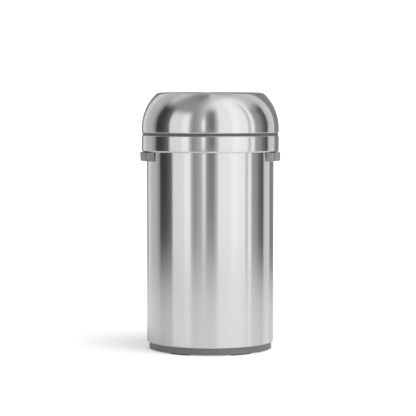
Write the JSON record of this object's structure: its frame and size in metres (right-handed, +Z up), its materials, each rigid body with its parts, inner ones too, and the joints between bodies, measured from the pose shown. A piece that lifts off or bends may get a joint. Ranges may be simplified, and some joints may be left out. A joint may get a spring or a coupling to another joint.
{
  "type": "ashtray bin",
  "caption": "Round brushed steel waste bin with a domed open top, an ash bowl with a stub grid in its mouth, ledge handles and a lift-out bucket.",
  "frame": {"origin": "centre of the underside, on the floor under the non-slip pads", "axes": "+Z up along the bin's axis, front towards -Y, handles at -X and +X"},
  "size_m": [0.3964, 0.386, 0.7215],
  "materials": {
    "brushed_stainless": "horizontal brushing",
    "bowl_steel": "satin",
    "zinc_steel": "zinc plated",
    "base_plastic": "fine grain",
    "rim_plastic": "fine grain",
    "handle_plastic": "fine grain",
    "bucket_plastic": "smooth",
    "bag_ring_plastic": "smooth",
    "funnel_plastic": "fine grain",
    "knob_plastic": "polished",
    "pad_rubber": "matte"
  },
  "bodies": {
    "bin_body": {"body_shell": "brushed_stainless", "base_ring": "base_plastic", "base_pan": "zinc_steel", "base_screws": "zinc_steel", "non_slip_pads": "pad_rubber", "rim_ring": "rim_plastic", "rim_screws": "zinc_steel", "collar_band": "brushed_stainless", "left_handle": "handle_plastic", "left_backing_plate": "zinc_steel", "left_handle_screws": "zinc_steel", "left_handle_nuts": "zinc_steel", "right_handle": "handle_plastic", "right_backing_plate": "zinc_steel", "right_handle_screws": "zinc_steel", "right_handle_nuts": "zinc_steel"},
    "bucket": {"inner_bucket": "bucket_plastic"},
    "bag_clamp": {"bag_ring": "bag_ring_plastic"},
    "lid": {"dome_shell": "brushed_stainless", "lid_skirt": "rim_plastic", "lid_brackets": "zinc_steel", "lid_screws": "zinc_steel", "lid_bumpers": "pad_rubber", "funnel": "funnel_plastic", "funnel_rivets": "zinc_steel"},
    "bowl": {"ash_bowl": "bowl_steel"},
    "grid": {"stub_grid": "bowl_steel", "grid_knob": "knob_plastic", "knob_screw": "zinc_steel"}
  },
  "joints": [
    {"name": "bucket_lift", "type": "slide", "parent": "bin_body", "child": "bucket", "axis": [0, 0, 1], "range_m": [0, 0.62]},
    {"name": "bag_ring_lift", "type": "slide", "parent": "bucket", "child": "bag_clamp", "axis": [0, 0, 1], "range_m": [0, 0.06]},
    {"name": "lid_lift", "type": "slide", "parent": "bag_clamp", "child": "lid", "axis": [0, 0, 1], "range_m": [0, 0.22]},
    {"name": "bowl_lift", "type": "slide", "parent": "lid", "child": "bowl", "axis": [0, 0, 1], "range_m": [0, 0.12]},
    {"name": "grid_lift", "type": "slide", "parent": "bowl", "child": "grid", "axis": [0, 0, 1], "range_m": [0, 0.08]}
  ]
}
